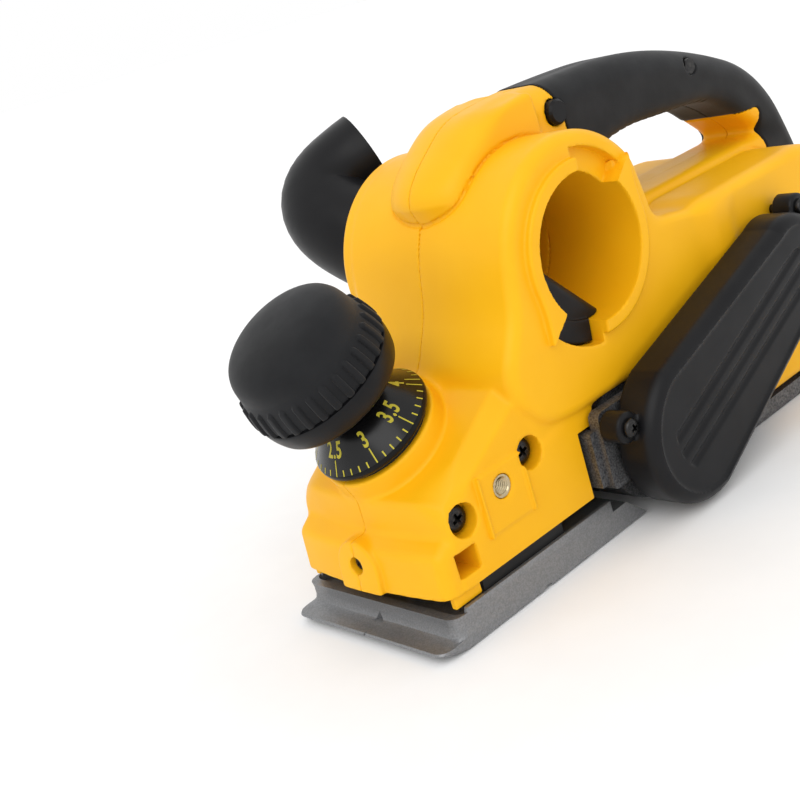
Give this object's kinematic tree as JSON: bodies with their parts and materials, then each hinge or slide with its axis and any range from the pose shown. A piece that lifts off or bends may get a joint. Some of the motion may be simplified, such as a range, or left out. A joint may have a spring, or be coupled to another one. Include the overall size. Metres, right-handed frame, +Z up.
{
  "type": "electric hand planer",
  "caption": "Yellow electric hand planer with a ribbed front depth knob, closed handle, cast shoes, a black chip elbow and a belt-driven cutter drum.",
  "frame": {"origin": "on the sole of the rear shoe, in the plane of the housing's parting line", "axes": "+X forward towards the depth knob, +Y to the operator's left, +Z up"},
  "size_m": [0.3425, 0.1795, 0.1682],
  "materials": {
    "yellow_housing": "satin moulded plastic",
    "black_plastic": "satin moulded plastic",
    "soft_grip": "matte soft rubber",
    "cast_aluminium": "dark die-cast, milled soles",
    "machined_steel": "machined",
    "black_steel": "black oxide",
    "brass": "turned",
    "copper": "wound copper",
    "belt_rubber": "matte"
  },
  "bodies": {
    "planer_body": {"housing_left": "yellow_housing", "housing_right": "yellow_housing", "base_casting": "cast_aluminium", "detent_spring": "machined_steel", "drum_bearing_left": "machined_steel", "drum_bearing_right": "machined_steel", "stator": "machined_steel", "motor_bearing_left": "machined_steel", "motor_bearing_right": "machined_steel", "brush_holder_front": "brass", "brush_holder_rear": "brass", "drive_belt": "belt_rubber", "belt_cover": "black_plastic", "belt_cover_screw_1": "black_steel", "belt_cover_screw_2": "black_steel", "chip_deflector": "black_plastic", "threaded_insert_left": "brass", "threaded_insert_right": "brass", "dust_strip_left": "belt_rubber", "dust_strip_right": "belt_rubber", "nose_screw_1": "black_steel", "nose_screw_2": "black_steel", "front_screw": "black_steel", "handle_screw_1": "black_steel", "handle_screw_2": "black_steel", "drum_end_cap": "black_plastic", "foot_pin": "machined_steel", "switch_body": "black_plastic", "cord_gland": "belt_rubber"},
    "front_shoe": {"front_shoe": "cast_aluminium"},
    "depth_adjuster": {"depth_knob": "soft_grip", "depth_knob_hub": "black_plastic", "depth_dial": "black_plastic", "adjuster_spindle": "machined_steel"},
    "cutter": {"cutter_drum": "cast_aluminium", "knife_a": "machined_steel", "knife_b": "machined_steel", "clamp_bar_a": "black_steel", "clamp_bar_b": "black_steel", "drum_pulley": "black_steel"},
    "armature": {"armature_shaft": "machined_steel", "armature_core": "copper", "commutator": "copper", "cooling_fan": "black_plastic", "motor_pulley": "black_steel"},
    "trigger": {"trigger": "black_plastic"},
    "lock_off_button": {"lock_off_button": "black_plastic"},
    "chip_chute": {"chip_chute": "black_plastic"},
    "parking_foot": {"parking_foot": "black_plastic"}
  },
  "joints": [
    {"name": "depth_knob_turn", "type": "hinge", "parent": "planer_body", "child": "depth_adjuster", "pos_m": [0.1314, 0, 0.0742], "axis": [-0.4795, 0, -0.8776], "range_deg": [-35.1, 316.1]},
    {"name": "front_shoe_slide", "type": "slide", "parent": "planer_body", "child": "front_shoe", "axis": [0.4795, 0, 0.8776], "range_m": [-0.00046, 0.00411]},
    {"name": "drum_spin", "type": "hinge", "parent": "planer_body", "child": "cutter", "pos_m": [0.032, 0, 0.032], "axis": [0, 1, 0], "continuous": true},
    {"name": "armature_spin", "type": "hinge", "parent": "planer_body", "child": "armature", "pos_m": [-0.048, 0, 0.064], "axis": [0, 1, 0], "continuous": true},
    {"name": "trigger_squeeze", "type": "hinge", "parent": "planer_body", "child": "trigger", "pos_m": [0.016, 0, 0.144], "axis": [0, 1, 0], "range_deg": [0, 8], "stiffness_Nm_per_rad": 0.6, "springref_deg": -4.01},
    {"name": "lock_off_push", "type": "slide", "parent": "planer_body", "child": "lock_off_button", "axis": [0, 1, 0], "range_m": [0, 0.0025], "stiffness_N_per_m": 500, "springref_m": -0.001},
    {"name": "chute_turn", "type": "hinge", "parent": "planer_body", "child": "chip_chute", "pos_m": [0.047, 0, 0.108], "axis": [0, 1, 0], "range_deg": [-90, 90]},
    {"name": "parking_foot_swing", "type": "hinge", "parent": "planer_body", "child": "parking_foot", "pos_m": [-0.128, 0, 0.016], "axis": [0, 1, 0], "range_deg": [0, 90]}
  ],
  "couplings": [
    {"joint": "front_shoe_slide", "follows": "depth_knob_turn", "m_per_rad": 0.00074359},
    {"joint": "armature_spin", "follows": "drum_spin", "ratio": 1.7273}
  ]
}
